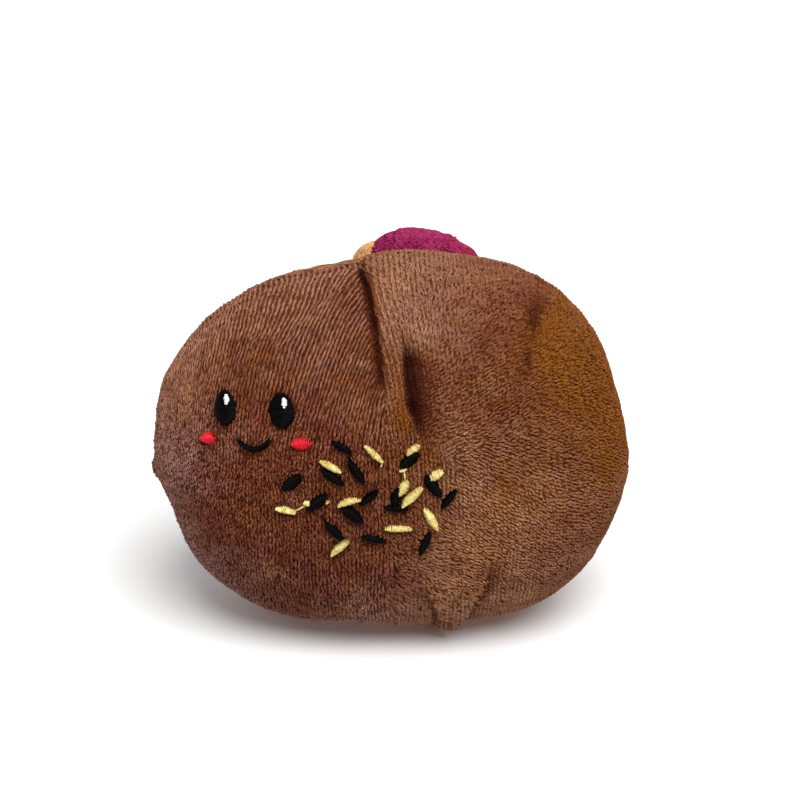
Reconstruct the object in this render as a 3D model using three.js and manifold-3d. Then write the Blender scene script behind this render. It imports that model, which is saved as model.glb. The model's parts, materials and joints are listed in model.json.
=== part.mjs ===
// A stuffed plush copy of a red bean bun, 150 mm wide. A brown bun of short-pile fabric lies on a small
// flat spot. A dart with a pucker runs down its front from the top, and another one runs up from the bottom.
// Behind the top a torn opening shows the filling: a cushioned yellow crumb rim round a raised magenta bean
// paste centre. Sesame seeds and a plain smiling face are embroidered on the front, a little proud of it.
// Millimetres, +Z up, the front faces -Y, and the origin is under the middle of the bun.
import * as THREE from "three";
import { mergeVertices } from "three/addons/utils/BufferGeometryUtils.js";
import Module from "manifold-3d";

// The stuffed form, from its own centre to each side.
const CENTRE_UP = 53.5; // the centre's height over the flat spot
const HALF_LEFT = 73;
const HALF_RIGHT = 73.4;
const HALF_DEPTH = 50;
const HALF_ABOVE = 60.8;
const HALF_BELOW = 56.4;
// How square the front outline is in each quarter, 2 for an ellipse, and how square the side outline is.
const SQUARE = { upperLeft: 2.07, upperRight: 2.46, lowerRight: 2.37, lowerLeft: 2.16 };
const SQUARE_DEPTH = 2.3;
// The bun's mesh has rings across it from one seam end to the other, each with points around.
const RINGS = 54;
const AROUND = 64;

// Soft bumps and dents of the front: across, up, half-width, half-height and rise.
const SWELLS = [
  { across: 24, up: 30, wide: 24, high: 22, rise: 1.8 }, // right lobe beside the dart
  { across: -38, up: 14, wide: 24, high: 22, rise: 1.4 }, // left lobe, under the face
  { across: -6, up: -22, wide: 26, high: 18, rise: 1.0 }, // belly
  { across: 40, up: -16, wide: 20, high: 20, rise: 1.2 }, // lower right lobe
  { across: 43, up: 40, wide: 6, high: 12, rise: -1.2 }, // dent on the right shoulder
  { across: 50, up: 6, wide: 8, high: 16, rise: -0.8 }, // slack by the right seam end
  { across: -65, up: -17, wide: 12, high: 11, rise: -2.6 }, // slack under the left seam end
  { across: 67, up: 22, wide: 14, high: 13, rise: -2.4 }, // slack over the right seam end
  { across: -24, up: 56, wide: 15, high: 14, rise: -1.8 }, // low top of the left panel
];

// Darts and folds, each a path of [across, up] from its upper end to its lower one. The fabric changes by
// `left` on one side and by `right` on the other, and both fade with their own reach. `back` puts a dart on
// the back.
const DARTS = [
  {
    path: [
      [-9.3, 64],
      [-8.5, 60.4],
      [-6.7, 58.6],
      [-5.2, 54.7],
      [-4.2, 51],
      [-3.5, 46.8],
      [-2.5, 40],
      [-1.3, 32],
    ],
    left: -3.2,
    leftReach: 4.5,
    right: 1.3,
    rightReach: 7,
    fade: [0, 6],
  },
  {
    path: [[1.5, 47.5], [3.2, 41.4], [3.8, 34.6], [4.9, 28], [6, 24.2], [7.7, 19.8], [10.2, 13]],
    left: 1.0,
    leftReach: 3.5,
    right: -3.0,
    rightReach: 4.5,
    fade: [8, 19],
  },
  {
    path: [
      [29, -16],
      [27.9, -23],
      [26.3, -29],
      [24.4, -34],
      [23, -38],
      [21.5, -44],
      [17.5, -51],
      [13.4, -57],
    ],
    left: 1.5,
    leftReach: 5,
    right: -2.4,
    rightReach: 6,
    fade: [14, 0],
  },
  {
    path: [[11, -28], [11.5, -30.5], [12.7, -35], [13.4, -38], [14, -42], [14.5, -50], [13.4, -57]],
    left: -1.2,
    leftReach: 6,
    right: 0.8,
    rightReach: 3,
    fade: [9, 0],
  },
  {
    path: [[8, 48], [7, 36], [5, 26], [4, 16]],
    left: -2.0,
    leftReach: 6,
    right: 1.0,
    rightReach: 7,
    fade: [0, 12],
    back: true,
  },
  {
    path: [[20, -16], [18, -28], [16, -42], [13.4, -57]],
    left: 1.2,
    leftReach: 6,
    right: -2.0,
    rightReach: 6,
    fade: [14, 0],
    back: true,
  },
];
const DART_EDGE = 1.5; // half the width over which a dart steps from one side to the other
// The mesh's middle ring follows the darts of the front and the back, with its neighbours drawn towards it.
const RING_FRONT = [
  [-9, 64],
  [-5.7, 56],
  [-3.7, 48],
  [0, 37],
  [4, 31],
  [8, 19],
  [27, -14],
  [26.3, -29],
  [23, -38],
  [21.5, -44],
  [17.5, -51],
  [13.4, -57],
];
const RING_BACK = [[-9, 64], [8, 48], [7, 36], [4, 16], [20, -16], [16, -42], [13.4, -57]];
const DRAWN_REACH = 12;
const DRAWN_SHARE = 0.6;

// Ends of the seam between the front and the back, which stick out as small corners: centre, spread and rise.
const SEAM_ENDS = [
  { at: [-73, 3, -7.7], spread: [9, 7, 5], rise: 3.1 },
  { at: [73.4, 3, -8], spread: [9, 7, 8], rise: 2 },
  { at: [17.2, -31, -53], spread: [3.4, 6, 6], rise: 1.9 },
];

// Places where the stuffing is slack or full: centre, spread and rise.
const STUFFING = [
  { at: [-21, 14, 57], spread: [15, 18, 12], rise: -2 },
  { at: [-10, -20, -50], spread: [13, 17, 11], rise: -2.6 },
  { at: [10, -20, -51], spread: [10, 15, 11], rise: -1.2 },
  { at: [31, -20, -46], spread: [10, 15, 11], rise: -0.9 },
  { at: [62, -8, -24], spread: [13, 20, 13], rise: -1.8 },
  { at: [60, 6, 36], spread: [9, 16, 10], rise: -1 },
  { at: [72, 4, 9], spread: [9, 14, 8], rise: -0.9 },
  { at: [-67, 3, 24], spread: [10, 16, 12], rise: 1.2 },
  { at: [-72, 4, 6], spread: [9, 14, 7], rise: -1.2 },
  { at: [39, 11, 54], spread: [12, 14, 10], rise: 0.8 },
];

// The torn opening behind the top. The filling is a tall cushion in it, and the rim is a lower and wider one
// that shows behind the filling and at its sides. Half-width, half-length and half-height.
const FILLING = { at: [11.2, 25.4, 46.6], size: [21.4, 14.3, 16] };
const RIM = { at: [10.2, 28.5, 44.7], size: [23.7, 16, 11.7] };
const OPENING_TILT_BACK = 37; // degrees from upright
const OPENING_LEAN_RIGHT = 21;
const GAP = 0.35; // between neighbouring pieces

// Satin stitch stands up from the fabric as a ridge with sloped sides.
const THREAD_PROUD = 0.9;
const THREAD_SUNK = 1.5;
const THREAD_TOP_SHARE = 0.7; // of the foot's half-width
const END_HALF_WIDTH = 0.25;
const SPANS = 6; // along a ridge

// Embroidered seeds: across, up, turn in degrees, half-length and half-width.
const SEEDS = [
  [-13.9, 17.5, 154, 3.2, 1.0],
  [-9.9, 10.5, 124, 4.2, 1.2],
  [-16.7, 8.7, 143, 3.9, 1.2],
  [-28.3, 6.7, 37, 3.9, 1.6],
  [-21.1, 1.1, 41, 3.9, 1.6],
  [5.4, 14, 39, 3.5, 1.5],
  [11.9, 6.2, 126, 4, 1.4],
  [16.7, 2.2, 52, 3.6, 1.1],
  [-6.2, 2.7, 40, 3.4, 1.1],
  [-11.1, -2.6, 144, 3.7, 1.55],
  [1.5, -0.6, 176, 3.5, 1.1],
  [1.6, 3, 78, 3, 1.5],
  [-16.5, -7.9, 131, 3.6, 1.3],
  [-4.9, -10.1, 170, 3.6, 1.1],
  [9.9, -11.8, 67, 3.9, 1.2],
  [-17.2, 11.8, 152, 3.5, 1.1],
  [-4.9, 15.6, 137, 3.6, 1],
  [6.4, 16.9, 42, 2.4, 1.2],
  [13, 9.3, 32, 2.3, 1.4],
  [3.8, 5.8, 60, 2.6, 1.4],
  [6.2, 3, 45, 4.2, 1.3],
  [-11.9, 1.2, 17, 3.5, 1.1],
  [-30.3, -2.2, 172, 3.1, 1],
  [11.4, -4, 121, 4, 1.3],
  [2.1, -6.9, 178, 3.9, 1],
  [-14.7, -13.2, 48, 3.9, 1.2],
];

// A plain face: two round eyes, two cheeks and a curved smile.
const FACE_AT = [-39.6, 23];
const FACE_TURN = 4; // degrees
const EYE = { apart: 17, up: 3, halfWidth: 3.9, halfHeight: 5.2 };
const CHEEK = { apart: 27.5, up: -6, halfWidth: 3, halfHeight: 1.8 };
const SMILE = { halfWidth: 5, up: -5, drop: 2.8, thick: 0.8, spans: 10 };

const wasm = await Module();
wasm.setup();

const radians = THREE.MathUtils.degToRad;
const smooth = THREE.MathUtils.smoothstep;

function bell(distance, spread) {
  return Math.exp(-((distance / spread) ** 2));
}

// The length of a unit direction from the centre to the plain stuffed form.
function plainRadius(d) {
  const wide = d.x < 0 ? HALF_LEFT : HALF_RIGHT;
  const high = d.z < 0 ? HALF_BELOW : HALF_ABOVE;
  const upper = d.x < 0 ? SQUARE.upperLeft : SQUARE.upperRight;
  const lower = d.x < 0 ? SQUARE.lowerLeft : SQUARE.lowerRight;
  const square = d.z < 0 ? lower : upper;
  const ring = (Math.abs(d.x) / wide) ** square + (Math.abs(d.z) / high) ** square;
  const sum = ring ** (SQUARE_DEPTH / square) + (Math.abs(d.y) / HALF_DEPTH) ** SQUARE_DEPTH;
  return sum ** (-1 / SQUARE_DEPTH);
}

// Where a dart's path is at a height.
function pathAcross(path, up) {
  if (up >= path[0][1]) return path[0][0];
  for (let i = 1; i < path.length; i++) {
    const [x0, z0] = path[i - 1];
    const [x1, z1] = path[i];
    if (up >= z1) return x0 + ((x1 - x0) * (z0 - up)) / (z0 - z1);
  }
  return path.at(-1)[0];
}

function dartRise(dart, p) {
  const top = dart.path[0][1];
  const bottom = dart.path.at(-1)[1];
  const facing = dart.back ? smooth(p.y, 14, 26) : 1 - smooth(p.y, 4, 12);
  const fromTop = dart.fade[0] ? smooth(top - p.z, 0, dart.fade[0]) : 1;
  const fromBottom = dart.fade[1] ? smooth(p.z - bottom, 0, dart.fade[1]) : 1;
  const strength = facing * fromTop * fromBottom;
  if (strength === 0) return 0;
  const t = (p.x - pathAcross(dart.path, p.z)) * (dart.back ? -1 : 1);
  const toRight = smooth(t, -DART_EDGE, DART_EDGE);
  const left = dart.left * Math.exp(Math.min(t, 0) / dart.leftReach);
  const right = dart.right * Math.exp(-Math.max(t, 0) / dart.rightReach);
  return strength * (left * (1 - toRight) + right * toRight);
}

// How far the fabric at a point of the plain form stands out.
function rise(p) {
  let sum = 0;
  const front = 1 - smooth(p.y, 0, 24);
  for (const s of SWELLS) {
    const away = Math.hypot((p.x - s.across) / s.wide, (p.z - s.up) / s.high);
    sum += front * s.rise * bell(away, 1);
  }
  for (const dart of DARTS) sum += dartRise(dart, p);
  for (const e of [...SEAM_ENDS, ...STUFFING]) {
    const away = Math.hypot(...e.at.map((v, i) => (p.getComponent(i) - v) / e.spread[i]));
    sum += e.rise * bell(away, 1);
  }
  return sum;
}

// Moves a direction of the mesh so that its middle ring follows the darts, with its neighbours close to it.
function drawnToDarts(d) {
  const plain = d.clone().multiplyScalar(plainRadius(d));
  const drawn = DRAWN_SHARE * DRAWN_REACH * Math.tanh(plain.x / DRAWN_REACH);
  const share = Math.max(0, 1 - (plain.x / HALF_LEFT) ** 2);
  const back = smooth(plain.y, 0, 24);
  const middle = (1 - back) * pathAcross(RING_FRONT, plain.z) + back * pathAcross(RING_BACK, plain.z);
  plain.x += share * middle - drawn;
  return plain.normalize();
}

// The bun's surface along a direction from its centre, with its flat spot.
function surface(direction) {
  const d = direction.clone().normalize();
  const plain = d.clone().multiplyScalar(plainRadius(d));
  const p = d.multiplyScalar(plain.length() + rise(plain));
  p.z = Math.max(p.z, -CENTRE_UP);
  return p;
}

// The front surface over a place in the front view, found by walking back along +Y from in front of the bun.
function frontPoint(across, up) {
  let near = -HALF_DEPTH - 10;
  let far = 0;
  for (let i = 0; i < 40; i++) {
    const y = (near + far) / 2;
    const p = new THREE.Vector3(across, y, up);
    if (p.length() > surface(p).length()) near = y;
    else far = y;
  }
  return new THREE.Vector3(across, far, up);
}

// A closed geometry as a solid of manifold-3d.
function solid(geometry) {
  const plain = new THREE.BufferGeometry().setAttribute("position", geometry.getAttribute("position"));
  if (geometry.index) plain.setIndex(geometry.index);
  const merged = mergeVertices(plain, 1e-4);
  const index = merged.index.array;
  return new wasm.Manifold(
    new wasm.Mesh({
      numProp: 3,
      vertProperties: new Float32Array(merged.getAttribute("position").array),
      triVerts: new Uint32Array(index),
    }),
  );
}

function geometryOf(manifold) {
  const m = manifold.getMesh();
  return new THREE.BufferGeometry()
    .setAttribute("position", new THREE.BufferAttribute(new Float32Array(m.vertProperties), 3))
    .setIndex(new THREE.BufferAttribute(new Uint32Array(m.triVerts), 1));
}

// A ball of rings with its poles at the seam ends, drawn out to the bun's surface.
function bunForm() {
  const ball = new THREE.SphereGeometry(1, AROUND, RINGS).rotateZ(-Math.PI / 2);
  const at = ball.getAttribute("position");
  for (let i = 0; i < at.count; i++) {
    const p = surface(drawnToDarts(new THREE.Vector3().fromBufferAttribute(at, i).normalize()));
    at.setXYZ(i, p.x, p.y, p.z);
  }
  return solid(ball);
}

// Axes of the front surface at a place: along the stitches' long way, across it, and out of the fabric.
function frontFrame(across, up, turn) {
  const step = 1.5;
  const p = frontPoint(across, up);
  const right = frontPoint(across + step, up).sub(frontPoint(across - step, up)).normalize();
  const above = frontPoint(across, up + step).sub(frontPoint(across, up - step)).normalize();
  const out = new THREE.Vector3().crossVectors(right, above).normalize();
  const side = new THREE.Vector3().crossVectors(above, out).normalize();
  const high = new THREE.Vector3().crossVectors(out, side);
  const a = radians(turn);
  const along = side.clone().multiplyScalar(Math.cos(a)).addScaledVector(high, Math.sin(a));
  const wide = new THREE.Vector3().crossVectors(out, along);
  return new THREE.Matrix4().makeBasis(along, wide, out).setPosition(p);
}

// The point over a place in a frame of the front surface, lifted out of the fabric.
function liftedPoint(frame, along, wide, lift) {
  const out = new THREE.Vector3().setFromMatrixColumn(frame, 2);
  const foot = new THREE.Vector3(along, wide, 0).applyMatrix4(frame);
  let inside = -12;
  let outside = 12;
  for (let i = 0; i < 30; i++) {
    const t = (inside + outside) / 2;
    const p = foot.clone().addScaledVector(out, t);
    if (p.length() > surface(p).length()) outside = t;
    else inside = t;
  }
  return foot.addScaledVector(out, inside + lift);
}

// A ridge of satin stitch that lies on the front surface. Its line and half-width are functions of -1 to 1.
function ridge([across, up], turn, line, halfWidth, spans) {
  const frame = frontFrame(across, up, turn);
  const points = [];
  for (let i = 0; i <= spans; i++) {
    const t = -Math.cos((i / spans) * Math.PI);
    const [along, wide] = line(t);
    const [nextAlong, nextWide] = line(t + 0.01);
    const heading = Math.atan2(nextWide - wide, nextAlong - along);
    const half = Math.max(halfWidth(t), END_HALF_WIDTH);
    for (const [side, lift] of [[1, -THREAD_SUNK], [THREAD_TOP_SHARE, THREAD_PROUD],
      [-THREAD_TOP_SHARE, THREAD_PROUD], [-1, -THREAD_SUNK]]) {
      const a = along - side * half * Math.sin(heading);
      const w = wide + side * half * Math.cos(heading);
      points.push(liftedPoint(frame, a, w, lift));
    }
  }
  const last = 4 * spans;
  const index = [0, 2, 1, 0, 3, 2, last, last + 1, last + 2, last, last + 2, last + 3];
  for (let i = 0; i < spans; i++) {
    for (let k = 0; k < 4; k++) {
      const a = 4 * i + k;
      const b = 4 * i + ((k + 1) % 4);
      index.push(a, b, a + 4, b, b + 4, a + 4);
    }
  }
  const made = solid(new THREE.BufferGeometry().setFromPoints(points).setIndex(index));
  if (made.volume() < 0) throw new Error("a ridge of stitches is inside out");
  return made;
}

// An oval of satin stitch.
function patch(spot, turn, halfLength, halfWidth) {
  return ridge(spot, turn, (t) => [t * halfLength, 0], (t) => halfWidth * Math.sqrt(1 - t * t), SPANS);
}

// A place of the face, from its middle, turned with the face.
function faceSpot(across, up) {
  const a = radians(FACE_TURN);
  return [
    FACE_AT[0] + across * Math.cos(a) - up * Math.sin(a),
    FACE_AT[1] + across * Math.sin(a) + up * Math.cos(a),
  ];
}

function smile() {
  const line = (t) => [t * SMILE.halfWidth, SMILE.drop * (t * t - 1)];
  return ridge(faceSpot(0, SMILE.up), FACE_TURN, line, (t) => SMILE.thick * (1 - t ** 4), SMILE.spans);
}

function embroidery() {
  const made = SEEDS.map(([across, up, turn, long, wide]) => patch([across, up], turn, long, wide));
  for (const side of [-0.5, 0.5]) {
    made.push(patch(faceSpot(side * EYE.apart, EYE.up), FACE_TURN + 90, EYE.halfHeight, EYE.halfWidth));
    made.push(patch(faceSpot(side * CHEEK.apart, CHEEK.up), FACE_TURN, CHEEK.halfWidth, CHEEK.halfHeight));
  }
  made.push(smile());
  return made;
}

// A cushion in the opening, with its axis out of the bun.
function cushion({ at, size }, grow) {
  const ball = new THREE.SphereGeometry(1, 28, 14).rotateX(Math.PI / 2);
  ball.scale(...size.map((half) => half + grow));
  ball.rotateY(radians(OPENING_LEAN_RIGHT)).rotateX(-radians(OPENING_TILT_BACK)).translate(...at);
  return solid(ball);
}

function mesh(name, manifold, colour) {
  const material = new THREE.MeshStandardMaterial({ color: colour, roughness: 0.9, metalness: 0 });
  const made = new THREE.Mesh(geometryOf(manifold), material);
  made.name = name;
  return made;
}

const filling = cushion(FILLING, 0);
const fillingRoom = cushion(FILLING, GAP);
const rim = cushion(RIM, 0).subtract(fillingRoom);
const stitched = embroidery().reduce((sum, stitches) => sum.add(stitches), bunForm());
const body = stitched.subtract(cushion(RIM, GAP)).subtract(fillingRoom);

const bun = new THREE.Group();
bun.name = "plush_red_bean_bun";
bun.position.z = CENTRE_UP;
bun.add(mesh("bun_body", body, 0x75462f));
bun.add(mesh("crumb_rim", rim, 0xe0a860));
bun.add(mesh("bean_filling", filling, 0xa82a64));

export default bun;
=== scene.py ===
"""Looks of a stuffed plush copy of a red bean bun.

The brown bun, the yellow rim of its torn opening and the magenta filling are fabric skins covered with short pile,
which is combed the way it lies on the toy. Seeds and a plain smiling face are embroidered on the front.
Lengths are in millimetres from the bun's own centre until a mesh is made.
"""
import json
import math

import bpy
import numpy as np
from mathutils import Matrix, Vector

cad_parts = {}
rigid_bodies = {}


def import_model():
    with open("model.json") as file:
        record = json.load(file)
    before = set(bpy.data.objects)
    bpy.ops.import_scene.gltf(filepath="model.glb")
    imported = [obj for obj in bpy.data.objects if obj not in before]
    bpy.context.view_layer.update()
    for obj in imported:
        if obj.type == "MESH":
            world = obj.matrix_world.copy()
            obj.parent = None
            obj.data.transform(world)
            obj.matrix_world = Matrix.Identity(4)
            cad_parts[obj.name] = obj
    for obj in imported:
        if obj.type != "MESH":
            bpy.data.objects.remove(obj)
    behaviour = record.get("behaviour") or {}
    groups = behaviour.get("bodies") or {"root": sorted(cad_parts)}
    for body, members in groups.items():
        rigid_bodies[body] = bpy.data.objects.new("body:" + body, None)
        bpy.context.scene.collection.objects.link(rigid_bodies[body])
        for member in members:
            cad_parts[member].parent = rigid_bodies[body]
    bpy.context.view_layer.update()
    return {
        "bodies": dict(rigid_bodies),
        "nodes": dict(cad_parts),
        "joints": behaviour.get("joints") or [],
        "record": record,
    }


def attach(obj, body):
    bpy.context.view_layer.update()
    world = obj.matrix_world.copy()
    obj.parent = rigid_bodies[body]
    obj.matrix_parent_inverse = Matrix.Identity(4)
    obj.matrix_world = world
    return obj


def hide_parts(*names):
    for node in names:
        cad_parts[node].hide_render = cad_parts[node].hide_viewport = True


MM = 0.001
CENTRE_UP = 53.5  # the bun's centre over the surface it rests on

# The photograph's view.
VIEW_ELEVATION = 20  # degrees above level
VIEW_DISTANCE = 620
PHOTO_SIDE = 800  # pixels
PHOTO_SCALE = 3.22  # pixels a millimetre at the bun's centre
CENTRE_PIXEL = (390.7, 446.5)

# The stuffed form, as in the part's source.
HALF_LEFT = 73
HALF_RIGHT = 73.4
HALF_DEPTH = 50
HALF_ABOVE = 60.8
HALF_BELOW = 56.4
SQUARE_UPPER_LEFT = 2.07
SQUARE_UPPER_RIGHT = 2.46
SQUARE_LOWER_RIGHT = 2.37
SQUARE_LOWER_LEFT = 2.16
SQUARE_DEPTH = 2.3

# Soft bumps and dents of the front: across, up, half-width, half-height and rise.
SWELLS = [
    (24, 30, 24, 22, 1.8),
    (-38, 14, 24, 22, 1.4),
    (-6, -22, 26, 18, 1.0),
    (40, -16, 20, 20, 1.2),
    (43, 40, 6, 12, -1.2),
    (50, 6, 8, 16, -0.8),
    (-65, -17, 12, 11, -2.6),
    (67, 22, 14, 13, -2.4),
    (-24, 56, 15, 14, -1.8),
]

# Darts and folds: path from top to bottom, what the fabric does left and right of it and how far that reaches, the
# lengths over which its ends fade, and whether it is on the back.
DARTS = [
    dict(path=[(-9.3, 64), (-8.5, 60.4), (-6.7, 58.6), (-5.2, 54.7), (-4.2, 51), (-3.5, 46.8), (-2.5, 40), (-1.3, 32)],
         left=-3.4, left_reach=2.8, right=1.3, right_reach=7, fade=(0, 6), back=False),
    dict(path=[(1.5, 47.5), (1.9, 45.7), (3.2, 41.4), (3.8, 34.6), (4.1, 30.5), (4.9, 28), (6, 24.2), (7.7, 19.8), (10.2, 13)],
         left=1.0, left_reach=3.5, right=-3.0, right_reach=4.5, fade=(8, 19), back=False),
    dict(path=[(29, -16), (27.9, -23), (26.3, -29), (24.4, -34), (23, -38), (21.5, -44), (17.5, -51), (13.4, -57)],
         left=1.5, left_reach=5, right=-2.4, right_reach=6, fade=(14, 0), back=False),
    dict(path=[(11, -28), (11.5, -30.5), (12.7, -35), (13.4, -38), (14, -42), (14.5, -50), (13.4, -57)],
         left=-1.2, left_reach=6, right=0.8, right_reach=3, fade=(9, 0), back=False),
    dict(path=[(8, 48), (7, 36), (5, 26), (4, 16)],
         left=-2.0, left_reach=6, right=1.0, right_reach=7, fade=(0, 12), back=True),
    dict(path=[(20, -16), (18, -28), (16, -42), (13.4, -57)],
         left=1.2, left_reach=6, right=-2.0, right_reach=6, fade=(14, 0), back=True),
]
DART_EDGE = 0.4
PINCHED_DART = 1  # its fabric is pinched into a narrow groove
PINCH_DEPTH = 4.2
PINCH_MIDDLE = 1.5

# The mesh's middle ring follows the darts, and its neighbours are drawn towards it.
RING_FRONT = [(-9, 64), (-5.7, 56), (-3.7, 48), (0, 37), (4, 31), (8, 19), (27, -14),
              (26.3, -29), (23, -38), (21.5, -44), (17.5, -51), (13.4, -57)]
RING_BACK = [(-9, 64), (8, 48), (7, 36), (4, 16), (20, -16), (16, -42), (13.4, -57)]
DRAWN_REACH = 13
DRAWN_SHARE = 0.66

# Ends of the side seam: centre, spread and rise.
SEAM_ENDS = [
    ((-73, 3, -7.7), (9, 7, 5), 3.1),
    ((73.4, 3, -8), (9, 7, 8), 2.0),
    ((17.2, -31, -53), (3.4, 6, 6), 1.9),
]

# Places where the stuffing is slack or full: centre, spread and rise.
STUFFING = [
    ((-21, 14, 57), (15, 18, 12), -2.0),
    ((-10, -20, -50), (13, 17, 11), -2.6),
    ((10, -20, -51), (10, 15, 11), -1.2),
    ((31, -20, -46), (10, 15, 11), -0.9),
    ((62, -8, -24), (13, 20, 13), -1.8),
    ((60, 6, 36), (9, 16, 10), -1.0),
    ((72, 4, 9), (9, 14, 8), -0.9),
    ((-67, 3, 24), (10, 16, 12), 1.2),
    ((-72, 4, 6), (9, 14, 7), -1.2),
    ((39, 11, 54), (12, 14, 10), 0.8),
]
SEAM_SIDE = 3  # how far back the side seam is at its ends, at the top and at the bottom
SEAM_TOP = 19
SEAM_BOTTOM = -20

# Soft pleats: where they run out from, how many to a full turn and how high.
PLEATS_FROM = (-8, 64)
PLEAT_TURNS = 15
PLEAT_HEIGHT = 0.32

# The torn opening: its turn in degrees, and the two cushions in it with their middles and half-sizes.
OPENING_TILT_BACK = 37
OPENING_LEAN_RIGHT = 21
FILLING = dict(at=(11.2, 25.4, 46.6), size=(21.4, 14.3, 16))
RIM = dict(at=(10.2, 28.5, 44.7), size=(23.7, 16, 11.7))
OPENING_BLEND = 22

PILE = 0.9  # how far the pile stands over the skin


def smooth(x, low, high):
    t = np.clip((x - low) / (high - low), 0, 1)
    return t * t * (3 - 2 * t)


def bell(x):
    return np.exp(-x * x)


def unit(v):
    return v / np.maximum(np.linalg.norm(v, axis=-1, keepdims=True), 1e-9)


def dot(a, b):
    return (a * b).sum(axis=-1)


def waves(p, size, seed, count=9):
    """Smooth noise of about -1 to 1 from crossing waves, about size long."""
    rng = np.random.default_rng(seed)
    total = 0
    for _ in range(count):
        heading = unit(rng.normal(size=3)) * rng.uniform(0.7, 1.4) * 2 * math.pi / size
        total = total + np.sin(p @ heading + rng.uniform(0, 2 * math.pi))
    return total / math.sqrt(count) / 1.1


def plain_radius(d):
    """The length of unit directions from the centre to the plain stuffed form."""
    x, y, z = d[..., 0], d[..., 1], d[..., 2]
    wide = np.where(x < 0, HALF_LEFT, HALF_RIGHT)
    high = np.where(z < 0, HALF_BELOW, HALF_ABOVE)
    upper = np.where(x < 0, SQUARE_UPPER_LEFT, SQUARE_UPPER_RIGHT)
    lower = np.where(x < 0, SQUARE_LOWER_LEFT, SQUARE_LOWER_RIGHT)
    square = np.where(z < 0, lower, upper)
    ring = (np.abs(x) / wide) ** square + (np.abs(z) / high) ** square
    total = ring ** (SQUARE_DEPTH / square) + (np.abs(y) / HALF_DEPTH) ** SQUARE_DEPTH
    return total ** (-1 / SQUARE_DEPTH)


def path_across(path, up):
    """Where a dart's path is at a height."""
    across, heights = np.array(path, float).T
    return np.interp(-up, -heights, across)


def dart_strength(dart, p):
    z = p[..., 2]
    top, bottom = dart["path"][0][1], dart["path"][-1][1]
    facing = smooth(p[..., 1], 14, 26) if dart["back"] else 1 - smooth(p[..., 1], 4, 12)
    from_top = smooth(top - z, 0, dart["fade"][0]) if dart["fade"][0] else 1
    from_bottom = smooth(z - bottom, 0, dart["fade"][1]) if dart["fade"][1] else 1
    return facing * from_top * from_bottom


def dart_offset(dart, p):
    """How far right of a dart's path a point is, as seen from its side of the bun."""
    return (p[..., 0] - path_across(dart["path"], p[..., 2])) * (-1 if dart["back"] else 1)


def dart_rise(dart, p):
    t = dart_offset(dart, p)
    to_right = smooth(t, -DART_EDGE, DART_EDGE)
    left = dart["left"] * np.exp(np.minimum(t, 0) / dart["left_reach"])
    right = dart["right"] * np.exp(-np.maximum(t, 0) / dart["right_reach"])
    strength = dart_strength(dart, p)
    pinch = PINCH_DEPTH * strength * bell((t - PINCH_MIDDLE) / 1.6) if dart is DARTS[PINCHED_DART] else 0
    return strength * (left * (1 - to_right) + right * to_right - pinch)


def seam_distance(p):
    """How far behind the side seam a point is."""
    share = p[..., 2] / np.maximum(np.hypot(p[..., 0], p[..., 2]), 1e-6)
    seam = SEAM_SIDE + np.where(share > 0, (SEAM_TOP - SEAM_SIDE) * share, (SEAM_SIDE - SEAM_BOTTOM) * share)
    return p[..., 1] - seam


def seam_rise(p):
    """The groove of the side seam, with the gathers that its stitches draw in."""
    off = seam_distance(p)
    angle = np.arctan2(p[..., 2], p[..., 0])
    gathers = np.sin(52 * angle + 2 * waves(p, 30, 11)) * np.exp(-np.abs(off) / 6)
    return -1.3 * bell(off / 1.5) + 0.22 * gathers * smooth(np.abs(off), 0.5, 3)


def pleat_rise(p):
    """Soft pleats that run out from the top dart's upper end over the panel left of it."""
    across = p[..., 0] - PLEATS_FROM[0]
    down = PLEATS_FROM[1] - p[..., 2]
    turn = np.arctan2(across, np.maximum(down, 1e-6))
    near = bell((np.hypot(across, down) - 19) / 13) * (1 - smooth(turn, -0.35, -0.15)) * (1 - smooth(p[..., 1], 0, 16))
    return PLEAT_HEIGHT * near * np.sin(PLEAT_TURNS * turn + 0.8 * waves(p, 25, 14))


def opening_axes():
    tilt, lean = math.radians(-OPENING_TILT_BACK), math.radians(OPENING_LEAN_RIGHT)
    about_x = np.array([[1, 0, 0], [0, math.cos(tilt), -math.sin(tilt)], [0, math.sin(tilt), math.cos(tilt)]])
    about_y = np.array([[math.cos(lean), 0, math.sin(lean)], [0, 1, 0], [-math.sin(lean), 0, math.cos(lean)]])
    return about_x @ about_y


OPENING_AXES = opening_axes()


def in_cushion(p, cushion):
    """1 on a cushion of the opening, less inside it and more outside."""
    return np.linalg.norm((p - np.array(cushion["at"])) @ OPENING_AXES / np.array(cushion["size"]), axis=-1)


def in_opening(p):
    return -np.log(sum(np.exp(-OPENING_BLEND * in_cushion(p, cushion)) for cushion in (RIM, FILLING))) / OPENING_BLEND


def rise(p):
    """How far the skin at points of the plain form stands out."""
    x, y, z = p[..., 0], p[..., 1], p[..., 2]
    front = 1 - smooth(y, 0, 24)
    total = np.zeros(x.shape)
    for across, up, wide, high, height in SWELLS:
        total += front * height * bell(np.hypot((x - across) / wide, (z - up) / high))
    for dart in DARTS:
        total += dart_rise(dart, p)
    for at, spread, height in SEAM_ENDS + STUFFING:
        total += height * bell(np.linalg.norm((p - np.array(at)) / np.array(spread), axis=-1))
    total += seam_rise(p) + 0.28 * waves(p, 26, 12) + 0.08 * waves(p, 9, 13)
    total += pleat_rise(p)
    hole = in_opening(p)
    total += 0.2 * bell((hole - 1.2) / 0.12) - 7 * (1 - smooth(hole, 0.94, 1.12))
    lip = bell((hole - 1.15) / 0.12) * (1 - smooth(y, 22, 30))
    total -= lip * (bell((x - 2) / 12) + 1.3 * bell((x - 1) / 7) + 0.9 * bell((x + 6) / 4))
    return total - PILE


def plain_form(d):
    return d * plain_radius(unit(d))[..., None]


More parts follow.
